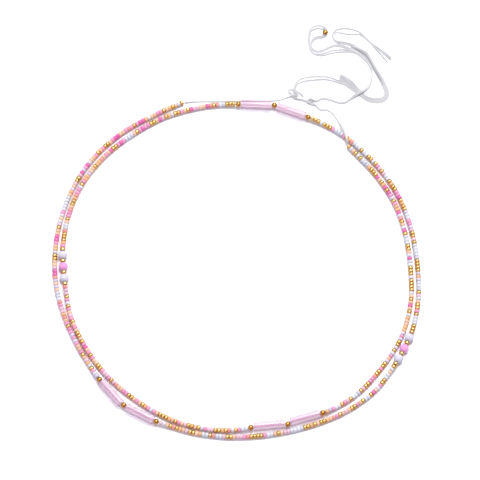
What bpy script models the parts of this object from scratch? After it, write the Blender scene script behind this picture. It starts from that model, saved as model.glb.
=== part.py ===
"""Beaded waist chain: one long string of glass seed beads laid flat in two turns, side by side, with its cotton ties.

Three pairs of clear glass tube beads and two trios of frosted round beads break up the seed beads.
Metres, +Z up. The origin is on the floor under the middle of the beaded loop, and the knot lies towards +Y.
"""
import math

import bmesh
import bpy
from mathutils import Vector

MM = 0.001

# Beads.
SEED_DIAMETER = 2.25 * MM
TUBE_DIAMETER = 4.0 * MM
TUBE_LENGTH = 13.0 * MM
TUBE_BORE = 1.3 * MM
TUBE_EDGE = 0.25 * MM
ROUND_DIAMETER = 2.4 * MM
ROUND_BORE = 1.2 * MM
FROSTED_DIAMETER = 3.9 * MM
FROSTED_BORE = 1.2 * MM
SPACER_LENGTH = 1.15 * MM
SPACER_BORE = 1.0 * MM
SPACER_EDGE = 0.3 * MM
BEAD_GAP = 0.2 * MM
# How far the string takes to come down from the axis of a big bead to that of a seed bead on the floor.
RAMP = 7.0 * MM
RUN_POINT_SPACING = 5.2 * MM

# Ties: each is two thin threads side by side, so its tube is as wide as both.
STRING_DIAMETER = 0.4 * MM
TIE_DIAMETER = 0.7 * MM
TIE_CLEARANCE = 0.3 * MM
KNOT_DIAMETER = 1.5 * MM
TIE_POINT_SPACING = 2.2 * MM

TUBE_SIDES = 16
ROUND_SIDES = 12
RING_STEPS = 7
CURVE_BEVEL_RESOLUTION = 2
SMOOTH_STEPS = 24

# The string's route seen from above, in millimetres, from its first bead to its last. A stretch named after a
# group of big beads is centred under that group, and the others hold seed beads only.
STRING_ROUTE = (
    ("seed_run_1", ((-23.0, 76.3), (-37.0, 69.5), (-50.0, 61.3), (-61.1, 50.5), (-69.3, 37.5), (-74.6, 23.0),
                    (-77.0, 7.7), (-76.5, -7.7), (-72.6, -22.7), (-66.3, -36.7), (-60.2, -47.0))),
    ("tubes_bottom_left", ((-57.6, -51.0), (-48.7, -61.7), (-45.9, -63.5), (-33.6, -69.8))),
    ("seed_run_2", ((-30.0, -70.8), (-17.6, -74.5), (-1.7, -76.3), (14.2, -75.2), (29.8, -71.6), (44.6, -65.6),
                    (57.5, -56.3), (64.4, -47.5))),
    ("trio_right", ((68.2, -41.4), (70.5, -37.0), (72.6, -32.5))),
    ("seed_run_3", ((74.6, -27.0), (76.9, -13.0), (76.4, 3.8), (73.5, 20.3), (67.4, 35.8), (57.7, 49.5),
                    (45.4, 61.0), (33.8, 67.8))),
    ("tubes_top", ((30.4, 69.0), (17.0, 74.0), (14.2, 74.4), (0.9, 75.0))),
    ("seed_run_4", ((-3.0, 75.3), (-15.3, 74.0), (-30.6, 69.4), (-44.2, 61.5), (-56.3, 51.3), (-65.8, 38.4),
                    (-71.6, 23.7), (-73.8, 8.6))),
    ("trio_left", ((-73.8, 4.8), (-73.5, 0.0), (-73.0, -4.8))),
    ("seed_run_5", ((-72.4, -9.5), (-69.9, -22.7), (-62.8, -37.6), (-53.0, -50.6), (-40.4, -61.2), (-26.1, -69.1),
                    (-10.1, -73.1), (2.5, -73.0))),
    ("tubes_bottom_right", ((6.5, -72.3), (20.2, -70.8), (22.6, -70.0), (35.4, -66.1))),
    ("seed_run_6", ((38.6, -64.8), (49.7, -57.9), (60.5, -46.0), (69.0, -32.4), (73.4, -17.1), (73.7, -1.0),
                    (71.7, 15.1), (66.8, 30.4), (58.2, 44.0), (47.6, 56.0))),
)

# Sideways seat of the middle round bead of each tube pair, to the left of the way the string runs.
MIDDLE_ROUND_SHIFT = {"bottom_left": 0.2 * MM, "top": -0.4 * MM, "bottom_right": -0.5 * MM}

# The ties' routes: x and y in millimetres, and how many tie thicknesses each point is lifted off the floor.
TIE_ROUTES = {
    "tie_a_lead": ((-22.4, 76.5, 0.75), (-19.0, 76.9, 0.2), (-15.4, 77.0, 0), (-7.2, 77.1, 0), (1.4, 77.3, 0),
                   (8.7, 77.4, 0), (15.6, 77.5, 0), (19.4, 78.0, 0), (22.0, 79.0, 0.2)),
    "tie_knot": ((23.2, 79.3, 0), (26.2, 78.2, 0), (28.9, 77.5, 0), (31.0, 76.5, 0), (32.9, 76.4, 0)),
    "tie_bow": ((23.7, 80.6, 0), (22.5, 81.2, 0), (22.3, 82.2, 0), (23.4, 82.6, 0), (25.4, 81.9, 0),
                (27.3, 80.8, 0), (28.7, 79.2, 0)),
    "tie_a_tail": ((26.2, 79.7, 0.9), (25.3, 81.2, 1.2), (24.9, 82.8, 1), (25.3, 84.6, 0.2), (26.4, 86.1, 0),
                   (28.6, 87.2, 0), (31.9, 87.9, 0), (36.0, 88.2, 0), (39.1, 88.1, 0), (41.6, 87.2, 0),
                   (44.2, 86.0, 0), (47.0, 84.5, 0), (49.5, 82.8, 0), (51.4, 81.2, 0), (53.3, 79.6, 0),
                   (55.2, 78.2, 0), (57.4, 77.2, 0), (59.9, 76.7, 0), (62.3, 76.9, 0), (64.3, 78.1, 0),
                   (65.3, 80.3, 0), (65.1, 82.8, 0), (64.1, 85.5, 0.3), (62.5, 88.5, 1), (60.7, 91.4, 1),
                   (59.3, 94.2, 1), (57.9, 96.9, 1), (56.2, 99.5, 1), (53.0, 101.6, 1), (51.0, 102.8, 0.6),
                   (48.8, 103.9, 0), (46.2, 104.7, 0), (43.8, 105.2, 0), (42.1, 106.4, 0), (41.5, 108.1, 0),
                   (42.1, 109.6, 0), (43.7, 110.4, 0), (46.3, 110.5, 0), (49.4, 110.2, 0), (52.4, 109.4, 0),
                   (54.8, 107.9, 0), (57.0, 105.5, 0), (59.5, 102.8, 0), (62.0, 100.2, 0), (64.2, 98.0, 0),
                   (66.1, 95.9, 0)),
    "tie_b_lead": ((47.3, 56.6, 0.8), (47.2, 58.0, 2.2), (46.7, 59.8, 2.5), (46.0, 62.0, 2.5), (45.2, 64.4, 1.8),
                   (44.2, 66.6, 0.3), (43.1, 68.5, 0), (41.6, 71.0, 0), (40.3, 72.3, 0), (38.7, 73.1, 0),
                   (37.4, 73.3, 0), (36.2, 73.1, 0), (35.0, 74.0, 0), (33.8, 75.6, 0.2)),
    "tie_b_out": ((34.1, 77.2, 0.2), (36.4, 78.4, 0), (38.5, 78.3, 0), (41.3, 77.5, 0), (44.1, 76.5, 0),
                  (46.4, 76.6, 0), (48.6, 78.0, 0), (50.5, 79.4, 0.7), (52.3, 80.4, 1.1), (54.0, 81.4, 1.1),
                  (55.6, 82.5, 0.6), (57.1, 84.4, 0), (58.1, 87.2, 0), (58.3, 90.6, 0), (57.3, 93.6, 0),
                  (55.8, 96.0, 0), (53.8, 98.2, 0), (51.5, 99.9, 0), (48.7, 100.8, 0), (46.2, 101.0, 0),
                  (43.7, 100.9, 0), (41.1, 100.5, 0), (38.6, 99.6, 0), (36.0, 99.0, 0), (33.5, 99.4, 0),
                  (31.6, 101.0, 0), (30.8, 103.2, 0), (30.6, 105.6, 0), (30.9, 108.4, 0), (31.7, 110.4, 0),
                  (33.1, 111.6, 0), (35.0, 112.2, 0), (37.0, 111.8, 0), (38.3, 110.9, 0.5)),
    "tie_b_back": ((37.9, 107.6, 0.5), (36.6, 107.4, 0.2), (35.1, 107.3, 0), (33.5, 106.5, 0), (32.6, 105.2, 0),
                   (32.2, 103.6, 0), (32.7, 102.0, 0), (34.0, 100.9, 0), (35.9, 100.8, 0), (38.0, 101.6, 0),
                   (40.5, 103.0, 0), (43.0, 103.7, 0), (45.6, 103.3, 0), (47.9, 102.5, 0), (50.4, 101.7, 0),
                   (52.9, 100.6, 0), (55.1, 99.0, 0), (56.9, 96.5, 0), (58.3, 93.8, 0), (59.6, 91.1, 0),
                   (61.1, 88.3, 0), (62.5, 85.5, 0), (63.6, 83.1, 0), (64.0, 81.0, 0), (63.3, 79.2, 0),
                   (61.5, 78.3, 0), (58.8, 78.5, 0), (56.4, 79.4, 0), (54.6, 80.8, 0), (53.1, 82.3, 0),
                   (51.1, 84.4, 0), (48.9, 86.3, 0), (46.1, 88.0, 0), (43.2, 89.0, 0)),
}
# The gold bead that both threads of tie b pass through.
END_BEAD_PLACE = (38.3 * MM, 109.3 * MM)
END_BEAD_HEADING = math.radians(-97.0)


def clear_scene():
    for obj in list(bpy.data.objects):
        bpy.data.objects.remove(obj, do_unlink=True)


def collection(name):
    made = bpy.data.collections.new(name)
    bpy.context.scene.collection.children.link(made)
    return made


def material(name, colour, roughness, metallic=0.0, transmission=0.0):
    made = bpy.data.materials.new(name)
    made.use_nodes = True
    shader = made.node_tree.nodes["Principled BSDF"]
    shader.inputs["Base Color"].default_value = (*colour, 1.0)
    shader.inputs["Roughness"].default_value = roughness
    shader.inputs["Metallic"].default_value = metallic
    shader.inputs["Transmission Weight"].default_value = transmission
    return made


def smooth_curve(points):
    """A dense centripetal Catmull-Rom curve through the points, so it bends evenly and never overshoots."""
    ends = [2 * points[0] - points[1], *points, 2 * points[-1] - points[-2]]
    dense = [points[0]]
    for p0, p1, p2, p3 in zip(ends, ends[1:], ends[2:], ends[3:]):
        t1 = math.sqrt((p1 - p0).length)
        t2 = t1 + math.sqrt((p2 - p1).length)
        t3 = t2 + math.sqrt((p3 - p2).length)
        for step in range(1, SMOOTH_STEPS + 1):
            t = t1 + (t2 - t1) * step / SMOOTH_STEPS
            a1 = p0.lerp(p1, t / t1)
            a2 = p1.lerp(p2, (t - t1) / (t2 - t1))
            a3 = p2.lerp(p3, (t - t2) / (t3 - t2))
            b1 = a1.lerp(a2, t / t2)
            b2 = a2.lerp(a3, (t - t1) / (t3 - t1))
            dense.append(b1.lerp(b2, (t - t1) / (t2 - t1)))
    return dense


def run_lengths(points):
    """The distance along the points to each of them."""
    total = [0.0]
    for a, b in zip(points, points[1:]):
        total.append(total[-1] + (b - a).length)
    return total


def point_at(points, lengths, distance):
    """The point a given distance along, straight on past either end."""
    index = next((i for i, s in enumerate(lengths[1:-1]) if s >= distance), len(lengths) - 2)
    share = (distance - lengths[index]) / (lengths[index + 1] - lengths[index])
    return points[index].lerp(points[index + 1], share)


def resampled(points, spacing):
    """The same route with points at even steps, so that a tube along it costs few faces."""
    lengths = run_lengths(points)
    steps = max(2, round(lengths[-1] / spacing))
    return [point_at(points, lengths, lengths[-1] * i / steps) for i in range(steps + 1)]


def tube_along(name, points, diameter, finish, where):
    """A capped tube along the points."""
    curve = bpy.data.curves.new(name, "CURVE")
    curve.dimensions = "3D"
    curve.bevel_depth = diameter / 2
    curve.bevel_resolution = CURVE_BEVEL_RESOLUTION
    curve.use_fill_caps = True
    spline = curve.splines.new("POLY")
    spline.points.add(len(points) - 1)
    for place, point in zip(spline.points, points):
        place.co = (*point, 1.0)
    curve.materials.append(finish)
    obj = bpy.data.objects.new(name, curve)
    where.objects.link(obj)
    return obj


def turned_bead_mesh(name, profile, sides, finish):
    """A closed profile of (radius, distance along) pairs, turned round X, with one flat facet facing down."""
    mesh = bpy.data.meshes.new(name)
    work = bmesh.new()
    rings = []
    for side in range(sides):
        turn = 2 * math.pi * (side + 0.5) / sides
        rings.append([work.verts.new((along, radius * math.sin(turn), -radius * math.cos(turn)))
                      for radius, along in profile])
    for side, ring in enumerate(rings):
        beside = rings[(side + 1) % sides]
        for i in range(len(profile)):
            j = (i + 1) % len(profile)
            work.faces.new((ring[i], ring[j], beside[j], beside[i]))
    bmesh.ops.recalc_face_normals(work, faces=work.faces)
    work.to_mesh(mesh)
    work.free()
    mesh.shade_smooth()
    mesh.set_sharp_from_angle(angle=math.radians(40))
    mesh.materials.append(finish)
    return mesh


def tube_profile():
    """A straight cut tube with a small chamfer on each outer edge."""
    radius, half, bore = TUBE_DIAMETER / 2, TUBE_LENGTH / 2, TUBE_BORE / 2
    return [(radius, -half + TUBE_EDGE), (radius, half - TUBE_EDGE), (radius - TUBE_EDGE, half),
            (bore, half), (bore, -half), (radius - TUBE_EDGE, -half)]


def spacer_profile():
    """A seed bead: a short cylinder with well rounded edges."""
    radius, half, bore = SEED_DIAMETER / 2, SPACER_LENGTH / 2, SPACER_BORE / 2
    return [(radius, -half + SPACER_EDGE), (radius, half - SPACER_EDGE), (radius - SPACER_EDGE, half),
            (bore, half), (bore, -half), (radius - SPACER_EDGE, -half)]


def ball_profile(diameter, bore):
    """A ball drilled through, as an arc from one mouth of the bore to the other."""
    start = math.asin(bore / diameter)
    turns = [start + (math.pi - 2 * start) * i / RING_STEPS for i in range(RING_STEPS + 1)]
    return [(diameter / 2 * math.sin(t), -diameter / 2 * math.cos(t)) for t in turns]


def ball_length(diameter, bore):
    """The length of a drilled ball along its bore."""
    return math.sqrt(diameter ** 2 - bore ** 2)


def apothem(diameter, sides):
    """The height of the axis of a faceted bead that stands on a facet."""
    return diameter / 2 * math.cos(math.pi / sides)


class BeadKind:
    """One kind of big bead: its mesh, and its length along the string."""

    def __init__(self, name, profile, sides, length, finish):
        self.mesh = turned_bead_mesh(name, profile, sides, finish)
        self.length = length


def bead_kinds(finishes):
    return {
        "tube": BeadKind("tube", tube_profile(), TUBE_SIDES, TUBE_LENGTH, finishes["clear_glass"]),
        "round": BeadKind("round", ball_profile(ROUND_DIAMETER, ROUND_BORE), ROUND_SIDES,
                          ball_length(ROUND_DIAMETER, ROUND_BORE), finishes["gold"]),
        "opal": BeadKind("opal", ball_profile(FROSTED_DIAMETER, FROSTED_BORE), ROUND_SIDES,
                         ball_length(FROSTED_DIAMETER, FROSTED_BORE), finishes["opal_glass"]),
        "pink": BeadKind("pink", ball_profile(FROSTED_DIAMETER, FROSTED_BORE), ROUND_SIDES,
                         ball_length(FROSTED_DIAMETER, FROSTED_BORE), finishes["pink_glass"]),
        "spacer": BeadKind("spacer", spacer_profile(), ROUND_SIDES, SPACER_LENGTH, finishes["gold"]),
    }


# The beads of a group in order, each as its kind and its own name.
TUBE_GROUP = (("round", "gold_round_1"), ("tube", "glass_tube_1"), ("round", "gold_round_2"),
              ("tube", "glass_tube_2"), ("round", "gold_round_3"))
TRIO_GROUP = (("spacer", "gold_spacer_1"), ("opal", "frosted_opal_1"), ("spacer", "gold_spacer_2"),
              ("pink", "frosted_pink"), ("spacer", "gold_spacer_3"), ("opal", "frosted_opal_2"),
              ("spacer", "gold_spacer_4"))


def group_rows(stretch):
    """What a named stretch of the route carries: the group's place name, its beads and the height of its axis."""
    kind, _, place = stretch.partition("_")
    if kind == "tubes":
        return place, TUBE_GROUP, apothem(TUBE_DIAMETER, TUBE_SIDES)
    return place, TRIO_GROUP, apothem(FROSTED_DIAMETER, ROUND_SIDES)


def place_bead(name, kind, start, end, where):
    """A bead on the straight line between two points of the string."""
    obj = bpy.data.objects.new(name, kind.mesh)
    obj.location = (start + end) / 2
    obj.rotation_euler = (0, 0, math.atan2(end.y - start.y, end.x - start.x))
    where.objects.link(obj)
    return obj


def side_step(start, end, shift):
    """A level step of the given size to the left of the way from start to end."""
    ahead = (end - start).normalized()
    return Vector((-ahead.y, ahead.x, 0)) * shift


class BeadString:
    """The whole string: its smooth route on the floor, and where each group of big beads starts and ends on it."""

    def __init__(self, kinds):
        self.kinds = kinds
        flat = [Vector((x * MM, y * MM, 0)) for _, points in STRING_ROUTE for x, y in points]
        self.route = smooth_curve(flat)
        self.lengths = run_lengths(self.route)
        self.groups = []
        first = 0
        for name, points in STRING_ROUTE:
            last = first + len(points) - 1
            if not name.startswith("seed_run"):
                middle = (self.lengths[first * SMOOTH_STEPS] + self.lengths[last * SMOOTH_STEPS]) / 2
                place, beads, height = group_rows(name)
                half = self.group_length(beads) / 2
                self.groups.append((place, beads, height, middle - half, middle + half))
            first = last + 1

    def group_length(self, beads):
        return sum(self.kinds[kind].length for kind, _ in beads) + BEAD_GAP * (len(beads) - 1)

    def height(self, distance):
        """The axis of the string: on the floor under the seed beads, and up to each group's own axis beside it."""
        low = SEED_DIAMETER / 2
        for _, _, high, start, end in self.groups:
            away = max(start - distance, distance - end, 0)
            if away < RAMP:
                share = 1 - away / RAMP
                return low + (high - low) * share * share * (3 - 2 * share)
        return low

    def at(self, distance):
        place = point_at(self.route, self.lengths, distance)
        return Vector((place.x, place.y, self.height(distance)))

    def seed_runs(self):
        """The start and the end of each run of seed beads, a bead's gap clear of the groups."""
        starts = [0.0] + [end + BEAD_GAP for *_, end in self.groups]
        ends = [start - BEAD_GAP for *_, start, _ in self.groups] + [self.lengths[-1]]
        return zip(starts, ends)

    def build_runs(self, finish, where):
        for number, (start, end) in enumerate(self.seed_runs(), 1):
            steps = max(2, round((end - start) / RUN_POINT_SPACING))
            points = [self.at(start + (end - start) * i / steps) for i in range(steps + 1)]
            tube_along(f"seed_run_{number}", points, SEED_DIAMETER, finish, where)

    def build_group(self, group, finish, where):
        """Lays the group's beads end to end along the route, with the string's own length through their bores."""
        place, beads, height, start, _ = group
        string = []
        for kind_name, bead_name in beads:
            kind = self.kinds[kind_name]
            head, tail = (self.at(start + kind.length * share) for share in (0, 1))
            shift = MIDDLE_ROUND_SHIFT.get(place, 0) if bead_name == "gold_round_2" else 0
            step = side_step(head, tail, shift)
            place_bead(f"{bead_name}_{place}", kind, head + step, tail + step, where)
            string += [head + step / 2, tail + step / 2]
            start += kind.length + BEAD_GAP
        tube_along(f"string_through_{place}", string, STRING_DIAMETER, finish, where)


def build_ties(finishes, where):
    """The cotton ties lying on the floor, the knot that joins them, and the gold bead threaded on one of them."""
    for name, rows in TIE_ROUTES.items():
        diameter = KNOT_DIAMETER if name == "tie_knot" else TIE_DIAMETER
        lift = TIE_DIAMETER + TIE_CLEARANCE
        points = [Vector((x * MM, y * MM, diameter / 2 + lift * layers)) for x, y, layers in rows]
        tube_along(name, resampled(smooth_curve(points), TIE_POINT_SPACING), diameter, finishes["cotton"], where)


def build_end_bead(kinds, where):
    """The gold bead on the far bend of tie b, lying on the floor."""
    bead = bpy.data.objects.new("gold_end_bead", kinds["round"].mesh)
    bead.location = (*END_BEAD_PLACE, apothem(ROUND_DIAMETER, ROUND_SIDES))
    bead.rotation_euler = (0, 0, END_BEAD_HEADING)
    where.objects.link(bead)


def main():
    clear_scene()
    parts = collection("beaded_waist_chain")
    finishes = {
        "seed_glass": material("seed_bead_glass", (0.88, 0.58, 0.50), 0.25),
        "clear_glass": material("clear_pink_glass", (0.93, 0.80, 0.88), 0.05, transmission=0.9),
        "gold": material("gold_plated_brass", (0.80, 0.55, 0.18), 0.2, metallic=1.0),
        "opal_glass": material("frosted_opal_glass", (0.72, 0.70, 0.82), 0.6),
        "pink_glass": material("frosted_pink_glass", (0.90, 0.45, 0.72), 0.6),
        "cotton": material("white_cotton_thread", (0.80, 0.80, 0.82), 0.9),
    }
    kinds = bead_kinds(finishes)
    string = BeadString(kinds)
    string.build_runs(finishes["seed_glass"], parts)
    for group in string.groups:
        string.build_group(group, finishes["cotton"], parts)
    build_ties(finishes, parts)
    build_end_bead(kinds, parts)


main()
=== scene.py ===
"""Looks of the beaded waist chain: a string of seed beads, tubes and frosted rounds, with its thread ties.

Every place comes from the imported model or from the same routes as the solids. Metres, +Z up.
"""
from __future__ import annotations

import itertools
import logging
import math
from dataclasses import dataclass, field
from enum import Enum

import bpy
import numpy as np
from bpy.types import Material, Node, NodeSocket, NodeTree, Object
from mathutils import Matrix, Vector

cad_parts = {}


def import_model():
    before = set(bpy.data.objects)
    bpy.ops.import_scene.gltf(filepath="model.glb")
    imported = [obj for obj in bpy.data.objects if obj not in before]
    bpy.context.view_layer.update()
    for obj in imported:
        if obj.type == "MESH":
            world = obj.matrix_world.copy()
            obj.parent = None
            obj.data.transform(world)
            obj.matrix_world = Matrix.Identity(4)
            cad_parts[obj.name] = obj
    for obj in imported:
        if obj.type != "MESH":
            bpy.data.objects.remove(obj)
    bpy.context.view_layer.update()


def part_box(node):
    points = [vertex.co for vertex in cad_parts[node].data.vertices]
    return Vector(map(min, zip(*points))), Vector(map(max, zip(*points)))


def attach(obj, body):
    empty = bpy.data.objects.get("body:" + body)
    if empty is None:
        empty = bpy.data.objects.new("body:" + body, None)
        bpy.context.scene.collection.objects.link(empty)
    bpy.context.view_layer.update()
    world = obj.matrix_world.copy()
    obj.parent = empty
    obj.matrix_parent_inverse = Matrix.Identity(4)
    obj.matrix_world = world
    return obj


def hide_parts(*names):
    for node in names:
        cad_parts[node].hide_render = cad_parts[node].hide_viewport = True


LOG = logging.getLogger("beaded_waist_chain")
Array = np.ndarray
MM = 0.001
BODY = "root"
UP = np.array([0.0, 0.0, 1.0])
TINT_LAYER = "bead_tint"
LENGTHWISE_LAYER = "lengthwise"
SHARP_DEGREES = 50.0
# Where the draws of the seed colours (plus the run's number) and of the tubes' uneven walls start.
MIX_START, RIPPLE_START = 100, 5
# A mix node has sockets for each kind of value, and these are the numbers of its colours.
MIX_A, MIX_B, MIX_RESULT = 6, 7, 2

# Sizes shared with the solids.
SEED_DIAMETER = 2.25 * MM
TUBE_DIAMETER = 4.0 * MM
TUBE_LENGTH = 13.0 * MM
TUBE_SIDES = 16
ROUND_DIAMETER = 2.4 * MM
ROUND_BORE = 1.2 * MM
ROUND_SIDES = 12
FROSTED_DIAMETER = 3.9 * MM
FROSTED_BORE = 1.2 * MM
SPACER_LENGTH = 1.15 * MM
BEAD_GAP = 0.2 * MM
RAMP = 7.0 * MM
TIE_DIAMETER = 0.7 * MM
TIE_CLEARANCE = 0.3 * MM
# How many steps a smooth curve has from one of its points to the next, and how far apart a tie's points are.
SMOOTH_STEPS = 24
TIE_STEP = 0.6 * MM

# The string's route seen from above, in millimetres, as the solids follow it.
STRING_ROUTE = (
    ("seed_run_1", (
        (-23.0, 76.3), (-37.0, 69.5), (-50.0, 61.3), (-61.1, 50.5), (-69.3, 37.5), (-74.6, 23.0),
        (-77.0, 7.7), (-76.5, -7.7), (-72.6, -22.7), (-66.3, -36.7), (-60.2, -47.0))),
    ("tubes_bottom_left", ((-57.6, -51.0), (-48.7, -61.7), (-45.9, -63.5), (-33.6, -69.8))),
    ("seed_run_2", (
        (-30.0, -70.8), (-17.6, -74.5), (-1.7, -76.3), (14.2, -75.2), (29.8, -71.6), (44.6, -65.6),
        (57.5, -56.3), (64.4, -47.5))),
    ("trio_right", ((68.2, -41.4), (70.5, -37.0), (72.6, -32.5))),
    ("seed_run_3", (
        (74.6, -27.0), (76.9, -13.0), (76.4, 3.8), (73.5, 20.3), (67.4, 35.8), (57.7, 49.5), (45.4, 61.0),
        (33.8, 67.8))),
    ("tubes_top", ((30.4, 69.0), (17.0, 74.0), (14.2, 74.4), (0.9, 75.0))),
    ("seed_run_4", (
        (-3.0, 75.3), (-15.3, 74.0), (-30.6, 69.4), (-44.2, 61.5), (-56.3, 51.3), (-65.8, 38.4),
        (-71.6, 23.7), (-73.8, 8.6))),
    ("trio_left", ((-73.8, 4.8), (-73.5, 0.0), (-73.0, -4.8))),
    ("seed_run_5", (
        (-72.4, -9.5), (-69.9, -22.7), (-62.8, -37.6), (-53.0, -50.6), (-40.4, -61.2), (-26.1, -69.1),
        (-10.1, -73.1), (2.5, -73.0))),
    ("tubes_bottom_right", ((6.5, -72.3), (20.2, -70.8), (22.6, -70.0), (35.4, -66.1))),
    ("seed_run_6", (
        (38.6, -64.8), (49.7, -57.9), (60.5, -46.0), (69.0, -32.4), (73.4, -17.1), (73.7, -1.0),
        (71.7, 15.1), (66.8, 30.4), (58.2, 44.0), (47.6, 56.0))),
)

# The ties' routes as the solids follow them: x and y in millimetres, and the lift in tie thicknesses where it
# changes.
TIE_A_LEAD = (
    (-22.4, 76.5, 0.75), (-19.0, 76.9, 0.2), (-15.4, 77.0, 0), (-7.2, 77.1), (1.4, 77.3), (8.7, 77.4),
    (15.6, 77.5), (19.4, 78.0), (22.0, 79.0, 0.2),
)
TIE_A_THROUGH_KNOT = ((24.2, 79.8, 0.6),)
TIE_A_TAIL = (
    (26.2, 79.7, 0.9), (25.3, 81.2, 1.2), (24.9, 82.8, 1), (25.3, 84.6, 0.2), (26.4, 86.1, 0), (28.6, 87.2),
    (31.9, 87.9), (36.0, 88.2), (39.1, 88.1), (41.6, 87.2), (44.2, 86.0), (47.0, 84.5), (49.5, 82.8),
    (51.4, 81.2), (53.3, 79.6), (55.2, 78.2), (57.4, 77.2), (59.9, 76.7), (62.3, 76.9), (64.3, 78.1),
    (65.3, 80.3), (65.1, 82.8), (64.1, 85.5, 0.3), (62.5, 88.5, 1), (60.7, 91.4), (59.3, 94.2),
    (57.9, 96.9), (56.2, 99.5), (53.0, 101.6), (51.0, 102.8, 0.6), (48.8, 103.9, 0), (46.2, 104.7),
    (43.8, 105.2), (42.1, 106.4), (41.5, 108.1), (42.1, 109.6), (43.7, 110.4), (46.3, 110.5), (49.4, 110.2),
    (52.4, 109.4), (54.8, 107.9), (57.0, 105.5), (59.5, 102.8), (62.0, 100.2), (64.2, 98.0), (66.1, 95.9),
)
TIE_B_LEAD = (
    (47.3, 56.6, 0.8), (47.2, 58.0, 2.2), (46.7, 59.8, 2.5), (46.0, 62.0), (45.2, 64.4, 1.8),
    (44.2, 66.6, 0.3), (43.1, 68.5, 0), (41.6, 71.0), (40.3, 72.3), (38.7, 73.1), (37.4, 73.3),
    (36.2, 73.1), (35.0, 74.0), (33.8, 75.6, 0.2),
)
TIE_B_THROUGH_KNOT = ((31.6, 76.0, 0.4), (30.4, 77.3, 0.6), (31.8, 78.2, 0.5))
TIE_B_OUT = (
    (34.1, 77.2, 0.2), (36.4, 78.4, 0), (38.5, 78.3), (41.3, 77.5), (44.1, 76.5), (46.4, 76.6),
    (48.6, 78.0), (50.5, 79.4, 0.7), (52.3, 80.4, 1.1), (54.0, 81.4), (55.6, 82.5, 0.6), (57.1, 84.4, 0),
    (58.1, 87.2), (58.3, 90.6), (57.3, 93.6), (55.8, 96.0), (53.8, 98.2), (51.5, 99.9), (48.7, 100.8),
    (46.2, 101.0), (43.7, 100.9), (41.1, 100.5), (38.6, 99.6), (36.0, 99.0), (33.5, 99.4), (31.6, 101.0),
    (30.8, 103.2), (30.6, 105.6), (30.9, 108.4), (31.7, 110.4), (33.1, 111.6), (35.0, 112.2), (37.0, 111.8),
    (38.3, 110.9, 0.5),
)
TIE_B_THROUGH_BEAD = ((38.3, 109.3, 0.8),)
TIE_B_BACK = (
    (37.9, 107.6, 0.5), (36.6, 107.4, 0.2), (35.1, 107.3, 0), (33.5, 106.5), (32.6, 105.2), (32.2, 103.6),
    (32.7, 102.0), (34.0, 100.9), (35.9, 100.8), (38.0, 101.6), (40.5, 103.0), (43.0, 103.7), (45.6, 103.3),
    (47.9, 102.5), (50.4, 101.7), (52.9, 100.6), (55.1, 99.0), (56.9, 96.5), (58.3, 93.8), (59.6, 91.1),
    (61.1, 88.3), (62.5, 85.5), (63.6, 83.1), (64.0, 81.0), (63.3, 79.2), (61.5, 78.3), (58.8, 78.5),
    (56.4, 79.4), (54.6, 80.8), (53.1, 82.3), (51.1, 84.4), (48.9, 86.3), (46.1, 88.0), (43.2, 89.0),
)
TIE_KNOT = ((23.2, 79.3, 0), (26.2, 78.2), (28.9, 77.5), (31.0, 76.5), (32.9, 76.4))
TIE_BOW = (
    (23.7, 80.6, 0), (22.5, 81.2), (22.3, 82.2), (23.4, 82.6), (25.4, 81.9), (27.3, 80.8), (28.7, 79.2),
)
STRAY_END = ((32.2, 76.6, 0.6), (32.7, 75.6, 0.2), (34.3, 72.5, 0), (35.5, 70.1))


def linear(code: str) -> tuple[float, float, float, float]:
    """Turns an sRGB hex colour into linear values.

    Args:
        code: Six hex digits, with or without a leading #.

    Returns:
        Red, green, blue and an alpha of 1.
    """
    digits = code.lstrip("#")
    values = [int(digits[i : i + 2], 16) / 255 for i in (0, 2, 4)]
    return (*(v / 12.92 if v <= 0.04045 else ((v + 0.055) / 1.055) ** 2.4 for v in values), 1.0)


def fill(tree: NodeTree, node: Node, inputs: dict[str | int, object]) -> None:
    """Sets or links a node's inputs.

    Args:
        tree: The node tree that holds the node.
        node: The node.
        inputs: What each socket named or numbered gets: a value, an output, or a node for its first output.
    """
    for key, value in inputs.items():
        source = value.outputs[0] if isinstance(value, Node) else value
        if isinstance(source, NodeSocket):
            tree.links.new(source, node.inputs[key])
        else:
            node.inputs[key].default_value = source


def add_node(
    tree: NodeTree, kind: str, inputs: dict[str | int, object] | None = None,
    stops: tuple[tuple[float, str], ...] = (), **settings: object
) -> Node:
    """Adds a shader node, sets its properties, and fills its inputs.

    Args:
        tree: The node tree that gets the node.
        kind: The node's Blender type name, after ShaderNode.
        inputs: What its sockets get, as fill takes them.
        stops: A colour ramp's places and hex colours, in order.
        **settings: Properties of the node.

    Returns:
        The new node.
    """
    node = tree.nodes.new(f"ShaderNode{kind}")
    for key, value in settings.items():
        setattr(node, key, value)
    if stops:
        elements = node.color_ramp.elements
        for element, (place, code) in zip(elements, (stops[0], stops[-1])):
            element.position = place
            element.color = linear(code)
        for place, code in stops[1:-1]:
            elements.new(place).color = linear(code)
    fill(tree, node, inputs or {})
    return node


@dataclass(frozen=True)
class Finish:
    """What every finish has: the real material's name, and how rough its surface is."""

    name: str
    roughness: float

    def sockets(self, tree: NodeTree) -> dict[str, object]:
        """What the shader's sockets get, apart from a plain roughness.

        Args:
            tree: The material's node tree, which gets the nodes that vary over the surface.

        Returns:
            A plain value, a node or a node's output for each socket named.
        """
        raise NotImplementedError

    def build(self) -> Material:
        """Makes the material.

        Returns:
            The Blender material, with its shader linked to the output.
        """
        made = bpy.data.materials.new(self.name)
        made.use_nodes = True
        tree = made.node_tree
        fill(tree, tree.nodes["Principled BSDF"], {"Roughness": self.roughness} | self.sockets(tree))
        return made


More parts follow.
